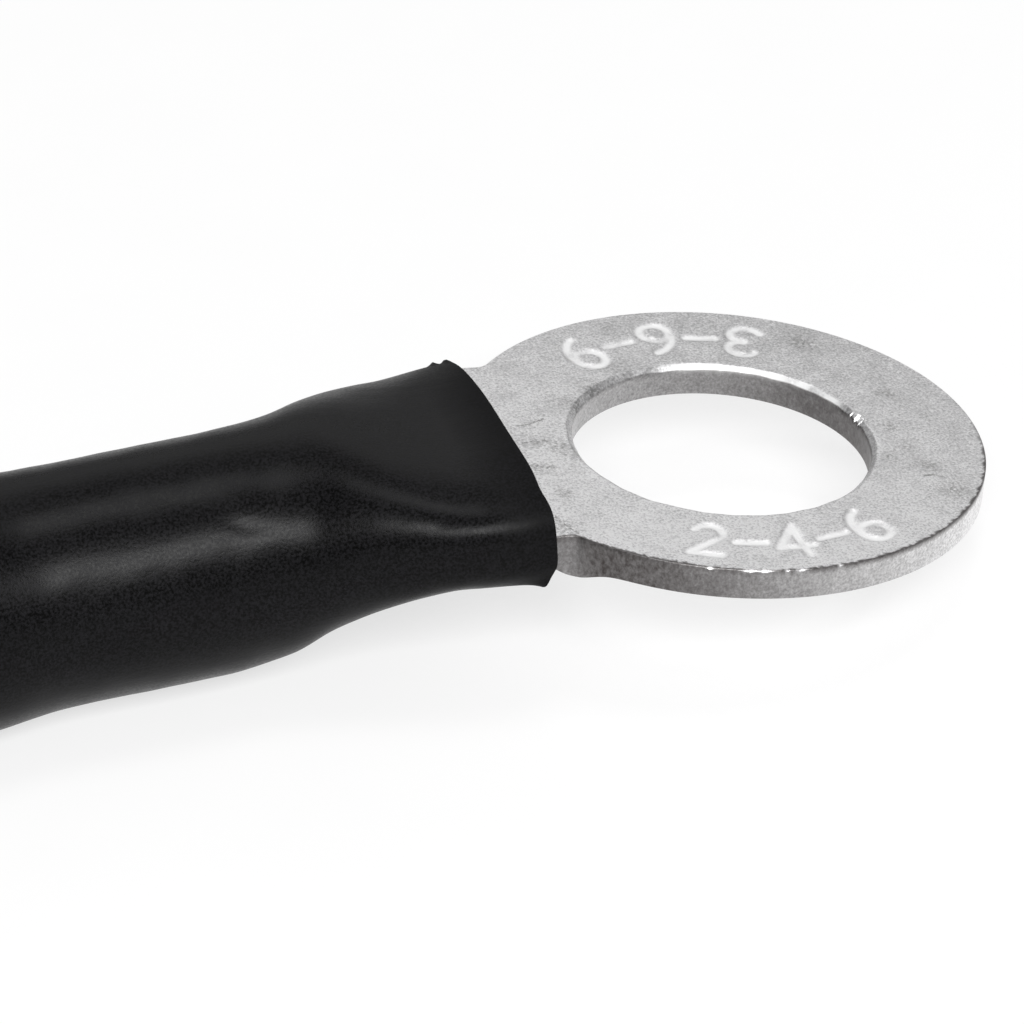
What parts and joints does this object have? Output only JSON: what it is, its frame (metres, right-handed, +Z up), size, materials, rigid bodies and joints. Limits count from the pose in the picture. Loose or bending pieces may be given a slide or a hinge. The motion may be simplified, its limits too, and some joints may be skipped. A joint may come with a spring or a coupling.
{
  "type": "ring terminal lead",
  "caption": "Short black stranded cable with a crimped, tin-plated ring terminal under a shrink sleeve at each end, folded once and held by a strap tie.",
  "frame": {"origin": "centre of the near terminal's stud hole, on the ring's upper face", "axes": "+X along the barrel towards the ring's tip, +Z up from the surface the lead lies on"},
  "size_m": [0.1578, 0.0462, 0.0131],
  "materials": {
    "tin": "satin tin plating on copper",
    "copper": "bare copper strands",
    "jacket": "satin black insulation",
    "sleeve": "satin black shrink tubing",
    "tie": "black nylon"
  },
  "bodies": {
    "root": {"ring_terminal": "tin", "conductor_end": "copper", "jacket_end": "jacket", "shrink_sleeve": "sleeve", "cable_run": "jacket", "cable_tie": "tie", "far_ring_terminal": "tin", "far_conductor_end": "copper", "far_jacket_end": "jacket", "far_shrink_sleeve": "sleeve"}
  },
  "joints": []
}
